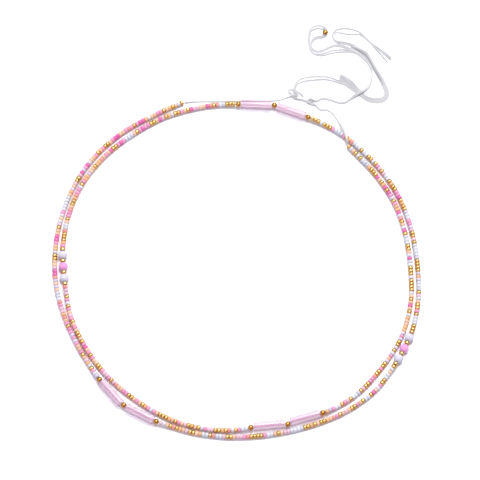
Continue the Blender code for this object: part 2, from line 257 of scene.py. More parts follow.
@dataclass(frozen=True)
class PressedSeedGlass(Finish):
    """Soda-lime seed beads, opaque and fire polished: a strong even colour under a slightly wavy gloss."""

    name: str = "opaque_seed_glass_fire_polished"
    roughness: float = 0.22
    ripple_mm: float = 0.7
    mottle: float = 0.10

    def sockets(self, tree: NodeTree) -> dict[str, object]:
        """Each bead's own colour, mottled a little, under glass gloss with a soft ripple.

        Args:
            tree: The material's node tree.

        Returns:
            What each socket named gets.
        """
        tint = add_node(tree, "Attribute", attribute_name=TINT_LAYER)
        place = add_node(tree, "TexCoord")
        noise = add_node(tree, "TexNoise", {"Vector": place.outputs["Object"], "Detail": 2.0,
                                            "Scale": 1 / (self.ripple_mm * MM)})
        shade = add_node(tree, "MapRange", {"Value": noise, "To Min": 1 - self.mottle,
                                            "To Max": 1 + self.mottle})
        mixed = add_node(tree, "VectorMath", {0: tint, 1: shade}, operation="MULTIPLY")
        bump = add_node(tree, "Bump", {"Height": noise, "Strength": 0.15, "Distance": 0.1 * MM})
        return {"Base Color": mixed, "Normal": bump, "IOR": 1.5, "Coat Weight": 0.5, "Coat Roughness": 0.08}


@dataclass(frozen=True)
class PearlSeedGlass(PressedSeedGlass):
    """Seed beads with a baked pearl lustre: pale milky glass under a thin film with a soft wide highlight."""

    name: str = "lustre_pearl_seed_glass"
    roughness: float = 0.3
    mottle: float = 0.06

    def sockets(self, tree: NodeTree) -> dict[str, object]:
        """The same colour and ripple, under a thin lustre film."""
        return super().sockets(tree) | {"IOR": 1.55, "Coat Weight": 0.7, "Coat Roughness": 0.15,
                                        "Sheen Weight": 0.1, "Sheen Roughness": 0.4}


@dataclass(frozen=True)
class SilverLinedGlass(Finish):
    """Amber glass with a silver lining in its bore: a bright gold middle, deeper where the glass is thick,
    and painted shade that darkens its ends and edge-on flanks.
    """

    name: str = "silver_lined_amber_seed_glass"
    roughness: float = 0.24
    bright: str = "#FFEFB0"
    deep_and_shade: str = "#ECB04A"
    coat: str = "#FBE8B4"
    glint: str = "#C89A48"
    end_shade_share: float = 0.6

    def sockets(self, tree: NodeTree) -> dict[str, object]:
        """A metal lining under a clear amber coat, with painted shade that darkens the ends and where the
        glass is edge on.

        Args:
            tree: The material's node tree.

        Returns:
            What each socket named gets.
        """
        along = add_node(tree, "Attribute", attribute_name=LENGTHWISE_LAYER)
        size = add_node(tree, "Math", {0: along.outputs["Fac"]}, operation="ABSOLUTE")
        edge_on_shade = add_node(tree, "LayerWeight", {"Blend": 0.5})
        # Painted shade: the colour darkens towards the bead's ends and where it is edge on, for the dark
        # reflections that the lining shows there.
        ends = add_node(tree, "Math", {0: size, 1: self.end_shade_share}, operation="MULTIPLY")
        depth_and_shade = add_node(tree, "Math", {0: ends, 1: edge_on_shade.outputs["Facing"]}, operation="MAXIMUM")
        ramp = add_node(tree, "ValToRGB", {"Fac": depth_and_shade}, ((0.12, self.bright), (0.58, self.deep_and_shade)))
        return {"Base Color": ramp, "Metallic": 0.8, "Coat Weight": 0.8, "Coat Roughness": 0.06,
                "Coat Tint": linear(self.coat), "Specular Tint": linear(self.glint)}


@dataclass(frozen=True)
class ClearPinkGlass(Finish):
    """Drawn glass cane, clear pale pink and straight cut: lengthwise streaks, and deeper pink edges that are
    partly thicker glass and partly painted shade.
    """

    name: str = "clear_pink_drawn_glass"
    roughness: float = 0.03
    tint: str = "#FFEAF4"
    pale: str = "#FCDEEC"
    streak: str = "#E8A4C8"
    rim_tint_and_shade: str = "#B4689C"
    clear: float = 0.1
    body: float = 0.4
    # How often the streaks change along the tube, for each metre, and round it, for each turn.
    streaks: tuple[float, float, float] = (3.0, 10.0, 1.0)

    def sockets(self, tree: NodeTree) -> dict[str, object]:
        """Clear glass with fine streaks and ridges along the tube, from the UV map's turn round it.

        Args:
            tree: The material's node tree.

        Returns:
            What each socket named gets.
        """
        place = add_node(tree, "TexCoord")
        stretched = add_node(tree, "VectorMath", {0: place.outputs["UV"], 1: self.streaks},
                             operation="MULTIPLY")
        noise = add_node(tree, "TexNoise", {"Vector": stretched, "Scale": 1.0, "Detail": 0.0})
        bump = add_node(tree, "Bump", {"Height": noise, "Strength": 0.06, "Distance": 0.1 * MM})
        ramp = add_node(tree, "ValToRGB", {"Fac": noise},
                        ((0.4, self.streak), (0.5, self.pale), (0.6, self.tint)))
        # Painted shade, partly real: edge on, the colour goes towards the rim tint, for the longer path
        # through pink glass and for the dark edges that refraction would give.
        edge_on_shade = add_node(tree, "LayerWeight", {"Blend": 0.3})
        deeper = add_node(tree, "Mix", {"Factor": edge_on_shade.outputs["Facing"], MIX_A: ramp,
                                        MIX_B: linear(self.rim_tint_and_shade)}, data_type="RGBA")
        return {"Base Color": deeper.outputs[MIX_RESULT], "Normal": bump, "IOR": 1.5, "Alpha": self.body,
                "Transmission Weight": self.clear, "Coat Weight": 0.6, "Coat Roughness": 0.02}


@dataclass(frozen=True)
class EtchedGlass(Finish):
    """Acid-etched glass: milky right through, with a matte skin that has no sharp highlight."""

    name: str = "etched_opal_glass"
    roughness: float = 0.55
    body: str = "#D2CEE0"
    core: str = "#E2E1EE"
    cloud_mm: float = 2.2
    grain_mm: float = 0.12

    def sockets(self, tree: NodeTree) -> dict[str, object]:
        """Rough glass that light sinks into, with soft clouds in it and the fine grain of the etched skin.

        Args:
            tree: The material's node tree.

        Returns:
            What each socket named gets.
        """
        place = add_node(tree, "TexCoord")
        cloud = add_node(tree, "TexNoise", {"Vector": place.outputs["Object"], "Detail": 2.0,
                                            "Scale": 1 / (self.cloud_mm * MM)})
        mixed = add_node(tree, "Mix", {"Factor": cloud, MIX_A: linear(self.body), MIX_B: linear(self.core)},
                         data_type="RGBA")
        grain = add_node(tree, "TexNoise", {"Vector": place.outputs["Object"], "Detail": 3.0,
                                            "Scale": 1 / (self.grain_mm * MM)})
        bump = add_node(tree, "Bump", {"Height": grain, "Strength": 0.25, "Distance": 0.03 * MM})
        return {"Base Color": mixed.outputs[MIX_RESULT], "Normal": bump, "IOR": 1.5, "Subsurface Weight": 0.9,
                "Subsurface Radius": (1.0, 0.8, 0.9), "Subsurface Scale": 2.0 * MM, "Sheen Weight": 0.15}


@dataclass(frozen=True)
class GoldPlate(Finish):
    """Polished brass balls with gold plate: mirror bright, with faint tumbling marks."""

    name: str = "gold_plated_brass_tumbled"
    roughness: float = 0.12
    bright: str = "#E4AC54"
    worn: str = "#C6863C"
    mark_mm: float = 0.4
    # How far the polish varies, as shares of the roughness.
    polish: tuple[float, float] = (0.7, 1.6)

    def sockets(self, tree: NodeTree) -> dict[str, object]:
        """A bare metal, slightly redder where the plate is thin, with a light unevenness in the polish.

        Args:
            tree: The material's node tree.

        Returns:
            What each socket named gets.
        """
        place = add_node(tree, "TexCoord")
        noise = add_node(tree, "TexNoise", {"Vector": place.outputs["Object"], "Detail": 3.0,
                                            "Scale": 1 / (self.mark_mm * MM)})
        ramp = add_node(tree, "ValToRGB", {"Fac": noise}, ((0.35, self.worn), (0.6, self.bright)))
        low, high = self.polish
        polish = add_node(tree, "MapRange", {"Value": noise, "To Min": self.roughness * low,
                                             "To Max": self.roughness * high})
        return {"Base Color": ramp, "Metallic": 1.0, "Roughness": polish}


@dataclass(frozen=True)
class TwistedThread(Finish):
    """Fine white spun thread: matte soft fibre, with the slant of its twist."""

    name: str = "white_cotton_thread_spun"
    roughness: float = 0.75
    light: str = "#DEDFDD"
    groove_shade: str = "#C3C4C2"
    twist_mm: float = 0.6

    def sockets(self, tree: NodeTree) -> dict[str, object]:
        """Slanting bands of painted shade in the twist's grooves, where the bump is low: the wave of the
        distance along in twists, plus the turn round.

        Args:
            tree: The material's node tree.

        Returns:
            What each socket named gets.
        """
        place = add_node(tree, "TexCoord")
        parts = add_node(tree, "SeparateXYZ", {"Vector": place.outputs["UV"]})
        twists = add_node(tree, "Math", {0: parts.outputs["X"], 1: 1 / (self.twist_mm * MM),
                                         2: parts.outputs["Y"]}, operation="MULTIPLY_ADD")
        turned_by = add_node(tree, "Math", {0: twists, 1: 2 * math.pi}, operation="MULTIPLY")
        wave = add_node(tree, "Math", {0: turned_by}, operation="SINE")
        level = add_node(tree, "MapRange", {"Value": wave, "From Min": -1.0})
        # Painted shade: the low parts of the twist's bump take the shaded colour, the high parts the light
        # one.
        ramp = add_node(tree, "ValToRGB", {"Fac": level}, ((0.0, self.groove_shade), (1.0, self.light)))
        bump = add_node(tree, "Bump", {"Height": level, "Strength": 0.4, "Distance": 0.03 * MM})
        return {"Base Color": ramp, "Normal": bump, "Sheen Weight": 0.2, "Sheen Roughness": 0.5,
                "Specular IOR Level": 0.3}


@dataclass(frozen=True)
class AcrylicBoard(Finish):
    """The white board under the chain."""

    name: str = "white_acrylic_board"
    roughness: float = 0.12
    tint: str = "#F4F4F6"

    def sockets(self, tree: NodeTree) -> dict[str, object]:
        """One plain colour."""
        return {"Base Color": linear(self.tint)}


@dataclass
class Surface:
    """A mesh as arrays: its points, its faces as corner numbers with counts, and what they carry."""

    points: Array
    corners: Array
    counts: Array
    uvs: Array | None = None
    lengthwise: Array | None = None
    tints: Array | None = None
    slots: Array | None = None


def joined(surfaces: list[Surface]) -> Surface:
    """Joins surfaces into one, with zeros where one lacks what another carries.

    Args:
        surfaces: The surfaces in order.

    Returns:
        One surface with all their points and faces.
    """
    offsets = np.cumsum([0] + [len(s.points) for s in surfaces[:-1]])

    def gather(layer: str, over: str, *width: int) -> Array | None:
        """Joins the values of one layer.

        Args:
            layer: The layer's name.
            over: The name of what it has a value for.
            *width: How many numbers a value has, if it has more than one.

        Returns:
            All the values in one array, or None if no surface has any.
        """
        values = [getattr(s, layer) for s in surfaces]
        if all(v is None for v in values):
            return None
        return np.concatenate([np.zeros((len(getattr(s, over)), *width)) if v is None else v
                               for v, s in zip(values, surfaces)])

    return Surface(
        np.concatenate([s.points for s in surfaces]),
        np.concatenate([s.corners + o for s, o in zip(surfaces, offsets)]),
        np.concatenate([s.counts for s in surfaces]),
        gather("uvs", "corners", 2), gather("lengthwise", "points"), gather("tints", "points", 4),
        gather("slots", "counts"),
    )


def grid_faces(rows: int, columns: int, wrap_rows: bool) -> Array:
    """Four-sided faces of a grid whose columns close round.

    Args:
        rows: How many points along.
        columns: How many points round.
        wrap_rows: Whether the last row joins the first.

    Returns:
        An array of four corner indices for each face.
    """
    row = np.arange(rows if wrap_rows else rows - 1)[:, None]
    column = np.arange(columns)[None, :]
    ahead, beside = (row + 1) % rows, (column + 1) % columns
    return np.stack([row * columns + column, row * columns + beside, ahead * columns + beside,
                     ahead * columns + column], axis=-1).reshape(-1, 4)


def turned(outline: Array, sides: int, ripple: Array | None = None) -> Surface:
    """A closed outline turned once round the X axis.

    Point (i, j) lies at x_i along, and at r_i times (sin a, -cos a) across, where a is (j + 1/2) / sides
    of a turn.

    Args:
        outline: Rows of (distance along, radius), in order round the section.
        sides: How many steps make the turn.
        ripple: A factor on the radius for each step of the turn.

    Returns:
        The closed surface, with u as the distance along and v as the share of the turn.
    """
    turn = 2 * math.pi * (np.arange(sides) + 0.5) / sides
    factor = np.ones(sides) if ripple is None else ripple
    radius = outline[:, 1:2] * factor
    points = np.stack([np.broadcast_to(outline[:, :1], radius.shape), radius * np.sin(turn),
                       -radius * np.cos(turn)], axis=-1).reshape(-1, 3)
    faces = grid_faces(len(outline), sides, wrap_rows=True)
    a, b, c = (points[faces[:, k]] for k in (0, 1, 2))
    if np.einsum("ij,ij->i", a, np.cross(b, c)).sum() < 0:
        faces = faces[:, ::-1]
    share = ((faces % sides + 0.5) / sides).astype(float)
    uvs = np.stack([points[faces][..., 0], share], axis=-1).reshape(-1, 2)
    half = np.abs(outline[:, 0]).max()
    return Surface(points, faces.ravel(), np.full(len(faces), 4), uvs, points[:, 0] / half)


def unit(vectors: Array) -> Array:
    """The same vectors, each divided by its own length."""
    return vectors / np.linalg.norm(vectors, axis=1, keepdims=True)


def axes_for(ways: Array) -> tuple[Array, Array, Array]:
    """Works out axes: the unit way ahead, up crossed with it as the level way to the left, and the way up.

    Args:
        ways: The ways ahead.

    Returns:
        The ways ahead, to the left and up, one of each for each way given.
    """
    ahead = unit(ways)
    left = unit(np.cross(UP, ahead))
    return ahead, left, np.cross(ahead, left)


def axes_along(path: Array) -> tuple[Array, Array, Array]:
    """The same three ways at each point of a path."""
    return axes_for(np.gradient(path, axis=0))


def around(centre: Array, left: Array, up: Array, radius: Array | float, angle: Array) -> Array:
    """The points round a centre: centre plus radius times (cos a left + sin a up).

    Args:
        centre: The centres.
        left: The ways to the left.
        up: The ways up.
        radius: The distances from the centres.
        angle: The angles from the left.

    Returns:
        The points.
    """
    reach = np.asarray(radius)[..., None]
    return centre + reach * (np.cos(angle)[..., None] * left + np.sin(angle)[..., None] * up)


def swept(path: Array, radius: float, sides: int = 6) -> Surface:
    """A round tube carried along a path, with flat ends.

    Point (i, j) lies round the path's point i at the radius, at the angle of j turns of 1/sides.

    Args:
        path: The centreline's points.
        radius: The tube's radius.
        sides: How many sides the tube has.

    Returns:
        The closed surface, with u as the distance along and v as the share of the turn.
    """
    _, left, up = axes_along(path)
    turn = 2 * math.pi * np.arange(sides) / sides
    points = around(path[:, None], left[:, None], up[:, None], radius, turn)
    faces = grid_faces(len(path), sides, wrap_rows=False)
    along = distances(path)
    share = (faces % sides) / sides
    share[:, 1:3] = share[:, :1] + 1 / sides
    uvs = np.stack([along[faces // sides], share], axis=-1).reshape(-1, 2)
    start_cap = np.arange(sides)[::-1]
    end_cap = np.arange(sides) + (len(path) - 1) * sides
    return Surface(points.reshape(-1, 3), np.concatenate([faces.ravel(), start_cap, end_cap]),
                   np.concatenate([np.full(len(faces), 4), [sides, sides]]),
                   np.concatenate([uvs, np.zeros((2 * sides, 2))]))


def added(name: str, data: bpy.types.ID) -> Object:
    """Adds an object to the scene.

    Args:
        name: Its name.
        data: The mesh, light or camera that it shows.

    Returns:
        The object.
    """
    made = bpy.data.objects.new(name, data)
    bpy.context.scene.collection.objects.link(made)
    return made


def make_piece(
    name: str, surface: Surface, finishes: list[Material], nodes: tuple[str, ...]
) -> Object:
    """Makes one finished piece of the object from a surface.

    Args:
        name: The piece's name.
        surface: Its mesh as arrays.
        finishes: Its materials, in the order of the surface's slots.
        nodes: The CAD nodes that it stands for.

    Returns:
        The piece, riding on the body.
    """
    mesh = bpy.data.meshes.new(name)
    for finish in finishes:
        mesh.materials.append(finish)
    mesh.vertices.add(len(surface.points))
    mesh.vertices.foreach_set("co", surface.points.astype(np.float32).ravel())
    mesh.loops.add(len(surface.corners))
    mesh.loops.foreach_set("vertex_index", surface.corners.astype(np.int32))
    mesh.polygons.add(len(surface.counts))
    starts = np.concatenate([[0], np.cumsum(surface.counts)[:-1]])
    mesh.polygons.foreach_set("loop_start", starts.astype(np.int32))
    mesh.polygons.foreach_set("use_smooth", np.ones(len(surface.counts), bool))
    if surface.slots is not None:
        mesh.polygons.foreach_set("material_index", surface.slots.astype(np.int32))
    if surface.uvs is not None:
        mesh.uv_layers.new(name="surface").data.foreach_set("uv", surface.uvs.astype(np.float32).ravel())
    for layer, kind, key, values in ((LENGTHWISE_LAYER, "FLOAT", "value", surface.lengthwise),
                                     (TINT_LAYER, "FLOAT_COLOR", "color", surface.tints)):
        if values is not None:
            mesh.attributes.new(layer, kind, "POINT").data.foreach_set(key, values.astype(np.float32).ravel())
    mesh.update(calc_edges=True)
    mesh.validate()
    mesh.set_sharp_from_angle(angle=math.radians(SHARP_DEGREES))
    piece = added(name, mesh)
    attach(piece, BODY)
    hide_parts(*nodes)
    LOG.info("%s: %d faces", name, len(surface.counts))
    return piece


def smooth_curve(points: Array) -> Array:
    """A centripetal Catmull-Rom curve.

    Its knots are sums of square roots of the spans, and each span is a blend of blends.

    Args:
        points: The points that it passes through.

    Returns:
        The dense points of the curve.
    """
    ends = np.vstack([2 * points[0] - points[1], points, 2 * points[-1] - points[-2]])
    p0, p1, p2, p3 = (ends[k : len(ends) - 3 + k, None] for k in range(4))
    t1 = np.sqrt(np.linalg.norm(p1 - p0, axis=-1))
    t2 = t1 + np.sqrt(np.linalg.norm(p2 - p1, axis=-1))
    t3 = t2 + np.sqrt(np.linalg.norm(p3 - p2, axis=-1))
    t = t1 + (t2 - t1) * np.arange(1, SMOOTH_STEPS + 1) / SMOOTH_STEPS

    def blend(a: Array, b: Array, share: Array) -> Array:
        """The point that is the given share of the way from a to b."""
        return a + (b - a) * share[..., None]

    a1, a2 = blend(p0, p1, t / t1), blend(p1, p2, (t - t1) / (t2 - t1))
    a3 = blend(p2, p3, (t - t2) / (t3 - t2))
    b1, b2 = blend(a1, a2, t / t2), blend(a2, a3, (t - t1) / (t3 - t1))
    return np.vstack([points[:1], blend(b1, b2, (t - t1) / (t2 - t1)).reshape(-1, points.shape[1])])


def distances(path: Array) -> Array:
    """The distance along a path to each of its points."""
    return np.concatenate([[0.0], np.cumsum(np.linalg.norm(np.diff(path, axis=0), axis=1))])


def points_at(path: Array, lengths: Array, where: Array) -> Array:
    """The points of a path at the given distances along it."""
    return np.stack([np.interp(where, lengths, path[:, k]) for k in range(path.shape[1])], axis=-1)


def apothem(diameter: float, sides: int) -> float:
    """The height of the axis of a faceted bead that stands on a facet."""
    return diameter / 2 * math.cos(math.pi / sides)


@dataclass(frozen=True)
class SeedLook:
    """A seed colour's slot in a run's materials, the colour itself, and how long a row of it can be."""

    slot: int
    tint: str
    rows: tuple[int, ...]


OPAQUE_SLOT, PEARL_SLOT, LINED_SLOT, THREAD_SLOT = range(4)


class Seed(Enum):
    """The colours of seed bead on the string: one silver lined, three with a pearl lustre, five opaque."""

    GOLD = SeedLook(LINED_SLOT, "#D9A441", (1, 1, 2, 2, 3))
    WHITE = SeedLook(PEARL_SLOT, "#DFE1E8", (1, 1, 2, 3))
    LILAC = SeedLook(PEARL_SLOT, "#D6CEE2", (1, 1, 2))
    BLUSH = SeedLook(PEARL_SLOT, "#F0C6D4", (1, 2))
    PINK = SeedLook(OPAQUE_SLOT, "#F5A3C6", (1, 1, 2))
    HOT_PINK = SeedLook(OPAQUE_SLOT, "#F070B2", (1, 1, 2))
    SALMON = SeedLook(OPAQUE_SLOT, "#F4A096", (1, 1))
    PEACH = SeedLook(OPAQUE_SLOT, "#F8CAA8", (1, 1, 2))
    ORANGE = SeedLook(OPAQUE_SLOT, "#F8BE88", (1, 1, 2))


@dataclass(frozen=True)
class SeedMix:
    """The order of one run of seed beads: gold and white rows read from the photo, the rest drawn."""

    number: int
    shares: tuple[float, ...]
    # How far along the run the middles of the rows are, in millimetres: first the rows of one bead, then
    # those of two, and so on.
    golds: tuple[tuple[float, ...], ...]
    whites: tuple[tuple[float, ...], ...]

    def order(self, count: int, step: float) -> list[Seed]:
        """Draws the run's colours row by row, with no colour twice running, then sets the rows read.

        Args:
            count: How many beads the run has.
            step: The distance from bead to bead.

        Returns:
            A colour for each bead.
        """
        rng = np.random.default_rng(MIX_START + self.number)
        kinds = list(Seed)
        weights = np.array(self.shares)
        drawn: list[Seed] = []
        while len(drawn) < count:
            allowed = weights * [k not in drawn[-1:] for k in kinds]
            kind = kinds[rng.choice(len(kinds), p=allowed / allowed.sum())]
            drawn += [kind] * int(rng.choice(kind.value.rows))
        drawn = drawn[:count]
        for kind, rows in ((Seed.WHITE, self.whites), (Seed.GOLD, self.golds)):
            for beads, middles in enumerate(rows, 1):
                for middle in middles:
                    first = min(max(round(middle * MM / step - beads / 2), 0), count - beads)
                    drawn[first : first + beads] = [kind] * beads
        return drawn


# How often each colour is drawn, in the order of Seed, on the three sides of the loop.
LEFT_SHARES = (0.3, 0.3, 0.4, 1.1, 3.4, 0.9, 1.2, 3.0, 1.3)
FRONT_SHARES = (0.5, 0.1, 0.3, 1.2, 2.8, 0.7, 1.2, 2.6, 1.1)
RIGHT_SHARES = (0.5, 0.6, 0.8, 1.1, 2.6, 0.9, 0.9, 2.1, 1.0)
SEED_MIXES = (
    SeedMix(1, LEFT_SHARES,
            ((0.7, 5.2, 9.7, 23.3, 43.9, 82.5, 128.3, 149.5), (39.4, 59.3, 96.7)),
            ((2.6, 16.9, 49.0, 64.4, 69.6, 76.7, 94.1, 135.5, 147.6, 152.0), (112.8,))),
    SeedMix(2, FRONT_SHARES,
            ((4.7, 7.9, 22.1, 51.5, 66.2, 77.5, 93.6, 109.3),
             (14.9, 30.2, 39.5, 43.5, 62.9, 70.2, 84.2, 101.8)),
            ((2.2, 13.2, 58.9, 61.5, 98.4), (19.4, 25.5, 47.5, 91.0, 104.5))),
    SeedMix(3, RIGHT_SHARES,
            ((8.2, 18.4, 40.9, 60.4, 77.2, 80.7, 89.9, 98.3, 107.1),
             (1.4, 12.0, 28.2, 31.8, 44.4, 56.9, 66.7, 84.2), (113.8,)),
            ((3.9, 14.5, 82.1, 92.7, 110.6), (53.4, 72.9), (102.1,), (36.7,))),
    SeedMix(4, LEFT_SHARES,
            ((9.2, 20.0, 30.8, 45.3, 69.1, 78.5, 95.6, 106.5), (25.4, 37.4, 57.1, 88.4, 103.3), (2.1,)),
            ((28.1, 48.5, 81.1), (5.5, 99.8))),
    SeedMix(5, LEFT_SHARES,
            ((5.4, 9.6, 15.8, 26.8, 33.7, 47.3, 65.2, 90.0, 101.9, 106.7), (22.6, 40.5, 58.3), (74.8,)),
            ((7.2, 69.3, 104.7),)),
    SeedMix(6, RIGHT_SHARES,
            ((7.6, 11.7, 18.6, 28.8, 41.5, 59.5, 65.5, 95.2, 100.6, 111.3, 117.3, 120.7, 135.4, 138.1, 142.6),
             (32.8, 44.9, 88.4), (72.2, 77.6, 127.4)),
            ((38.9, 48.8, 57.5, 68.8, 74.9, 85.7, 97.9, 103.9, 113.3, 136.8, 141.2), (81.7,), (92.5, 132.1))),
)


@dataclass
class StringRoute:
    """The string's own line: where it runs, how high, and where each group of big beads is on it."""

    line: Array = field(init=False)
    lengths: Array = field(init=False)
    groups: dict[str, tuple[float, float, float]] = field(init=False)

    def __post_init__(self) -> None:
        """Smooths the route and sets each group centred under its own stretch."""
        self.line = smooth_curve(np.array([p for _, points in STRING_ROUTE for p in points]) * MM)
        self.lengths = distances(self.line)
        self.groups = {}
        first = 0
        for name, points in STRING_ROUTE:
            last = first + len(points) - 1
            if not name.startswith("seed_run"):
                middle = (self.lengths[first * SMOOTH_STEPS] + self.lengths[last * SMOOTH_STEPS]) / 2
                half, height = self.group_size(name)
                self.groups[name] = (middle - half, middle + half, height)
            first = last + 1

    @staticmethod
    def group_size(name: str) -> tuple[float, float]:
        """Measures a group of big beads: the sum of what is on it and of the gaps between.

        Args:
            name: The group's name.

        Returns:
            Half its length, and the height of its axis.
        """
        drilled = math.sqrt(ROUND_DIAMETER**2 - ROUND_BORE**2)
        frosted = math.sqrt(FROSTED_DIAMETER**2 - FROSTED_BORE**2)
        if name.startswith("tubes"):
            return (3 * drilled + 2 * TUBE_LENGTH + 4 * BEAD_GAP) / 2, apothem(TUBE_DIAMETER, TUBE_SIDES)
        return (3 * frosted + 4 * SPACER_LENGTH + 6 * BEAD_GAP) / 2, apothem(FROSTED_DIAMETER, ROUND_SIDES)

    def at(self, where: Array) -> Array:
        """The string's points at the given distances.

        The height eases from a seed bead's axis on the floor to a group's axis: s squared times (3 - 2 s),
        where s is the share of the ramp that is left.

        Args:
            where: Distances along the string.

        Returns:
            One point for each.
        """
        low = SEED_DIAMETER / 2
        height = np.full(len(where), low)
        for start, end, high in self.groups.values():
            away = np.maximum(np.maximum(start - where, where - end), 0)
            share = np.clip(1 - away / RAMP, 0, 1)
            height = np.maximum(height, low + (high - low) * share**2 * (3 - 2 * share))
        return np.column_stack([points_at(self.line, self.lengths, where), height])

    def run_ends(self) -> list[tuple[float, float]]:
        """Finds where the seed beads are.

        Returns:
            The start and the end of each run of seed beads, along the string.
        """
        starts = [0.0] + [end + BEAD_GAP for _, end, _ in self.groups.values()]
        ends = [start - BEAD_GAP for start, _, _ in self.groups.values()] + [self.lengths[-1]]
        return list(zip(starts, ends))

    def heading_near(self, place: Array, length: float) -> float:
        """The level heading of a bead of the given length whose middle is nearest to a place.

        Args:
            place: The bead's middle.
            length: Its length along the string.

        Returns:
            The heading in radians.
        """
        nearest = self.lengths[np.argmin(np.linalg.norm(self.line - place[:2], axis=1))]
        head, tail = self.at(np.array([nearest - length / 2, nearest + length / 2]))
        return math.atan2(tail[1] - head[1], tail[0] - head[0])


@dataclass
class SeedRun:
    """One run of small glass beads on their thread."""

    number: int
    start: float
    end: float
    mix: SeedMix
    pitch: float = 1.43 * MM
    length: float = 1.36 * MM
    bore: float = 0.8 * MM
    edge: float = 0.32 * MM
    sides: int = 10
    wobble_degrees: float = 3.5
    # The share of the wobble that is left each way, because the beads lie on a floor.
    wobble_ways: tuple[float, float, float] = (1, 1, 0.6)
    size_spread: float = 0.03
    tint_spread: float = 0.05
    thread_diameter: float = 0.5 * MM
    thread_points_per_bead: int = 2

    def bead(self) -> Surface:
        """Shapes one bead: a short cylinder with slanted edges, drilled through.

        Returns:
            The bead along the X axis, with its middle at zero.
        """
        radius, half, bore = SEED_DIAMETER / 2, self.length / 2, self.bore / 2
        outline = np.array([(-half, bore), (-half, radius - self.edge), (-half + self.edge, radius),
                            (half - self.edge, radius), (half, radius - self.edge), (half, bore)])
        return turned(outline, self.sides)

    def build(self, route: StringRoute, finishes: list[Material]) -> Object:
        """Strings the beads along the run, each turned a little its own way.

        Bead k sits at the middle of its own step of the run. Its three axes are the way ahead, tilted by a
        small draw, the level way left and the way up.

        Args:
            route: The string's line.
            finishes: The run's materials, by slot.

        Returns:
            The piece.
        """
        rng = np.random.default_rng(self.number)
        count = round((self.end - self.start) / self.pitch)
        step = (self.end - self.start) / count
        where = self.start + (np.arange(count) + 0.5) * step
        places = route.at(where)
        ahead = unit(route.at(where + step / 2) - route.at(where - step / 2))
        ahead += rng.normal(0, math.tan(math.radians(self.wobble_degrees)), ahead.shape) * self.wobble_ways
        size = 1 - np.abs(rng.normal(0, self.size_spread, count))
        frames = np.stack(axes_for(ahead), axis=-1) * size[:, None, None]
        one = self.bead()
        points = np.einsum("nij,kj->nki", frames, one.points) + places[:, None]
        offsets = np.arange(count)[:, None] * len(one.points)
        looks = [kind.value for kind in self.mix.order(count, step)]
        tints = np.array([linear(look.tint) for look in looks])
        tints[:, :3] *= rng.normal(1, self.tint_spread, (count, 1))
        beads = Surface(
            points.reshape(-1, 3), (one.corners + offsets).ravel(), np.tile(one.counts, count),
            np.tile(one.uvs, (count, 1)), np.tile(one.lengthwise, count),
            np.repeat(tints, len(one.points), axis=0),
            np.repeat([look.slot for look in looks], len(one.counts)),
        )
        inner = route.at(np.linspace(self.start, self.end, count * self.thread_points_per_bead))
        thread = swept(inner, self.thread_diameter / 2)
        thread.slots = np.full(len(thread.counts), THREAD_SLOT)
        return make_piece(f"seed_beads_{self.number}", joined([beads, thread]), finishes,
                          (f"seed_run_{self.number}",))


@dataclass
class BigBead:
    """A kind of big bead: its outline, length, steps of its turn, finish and its wall's ripple."""

    outline: Array
    length: float
    sides: int
    finish: Material
    slot: str
    ripple: Array | None = None

    def place(self, name: str, node: str, route: StringRoute, heading: float | None = None) -> Object:
        """Sets one bead where its solid is, turned along the string.

        Args:
            name: The piece's name.
            node: The CAD node that it stands for.
            route: The string's line.
            heading: Its heading in radians, where it isn't on the string.

        Returns:
            The piece.
        """
        low, high = (np.array(corner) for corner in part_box(node))
        middle = (low + high) / 2
        angle = route.heading_near(middle, self.length) if heading is None else heading
        c, s = math.cos(angle), math.sin(angle)
        turn = np.array([(c, -s, 0), (s, c, 0), (0, 0, 1)])
        surface = turned(self.outline, self.sides, self.ripple)
        surface.points = surface.points @ turn.T + middle
        return make_piece(name, surface, [self.finish], (node,))


def ball_outline(diameter: float, bore: float, points: int) -> Array:
    """A drilled ball's outline: an arc of a circle from one mouth of the bore to the other.

    Args:
        diameter: The ball's diameter.
        bore: The bore's diameter.
        points: How many points the arc has.

    Returns:
        Rows of distance along and radius.
    """
    start = math.asin(bore / diameter)
    turn = np.linspace(start, math.pi - start, points)
    return np.column_stack([-np.cos(turn), np.sin(turn)]) * diameter / 2


def tube_outline(length: float, diameter: float, bore: float, edge: float, edge_points: int = 4) -> Array:
    """A straight cut tube's outline: its outer wall, edges rounded as quarter circles, flat ends and bore.

    Args:
        length: The tube's length.
        diameter: Its outside diameter.
        bore: The bore's diameter.
        edge: The radius of its rounded edges.
        edge_points: How many points a rounded edge has.

    Returns:
        Rows of distance along and radius.
    """
    half, radius = length / 2, diameter / 2
    corner = np.linspace(0, math.pi / 2, edge_points)
    right = np.column_stack([half - edge + edge * np.sin(corner), radius - edge + edge * np.cos(corner)])
    left = right[::-1] * (-1, 1)
    return np.vstack([left, right, [(half, bore / 2), (-half, bore / 2)]])


# The groups of big beads: their places, and each kind there with its pieces' own name and its numbers.
BEAD_GROUPS = (
    (("bottom_left", "top", "bottom_right"),
     (("glass_tube", "clear_tube", ("1_", "2_")), ("gold_round", "gold_ball", ("1_", "2_", "3_")))),
    (("left", "right"),
     (("frosted_opal", "opal_ball", ("1_", "2_")), ("frosted_pink", "pink_ball", ("",)),
      ("gold_spacer", "lined_spacer", ("1_", "2_", "3_", "4_")))),
)


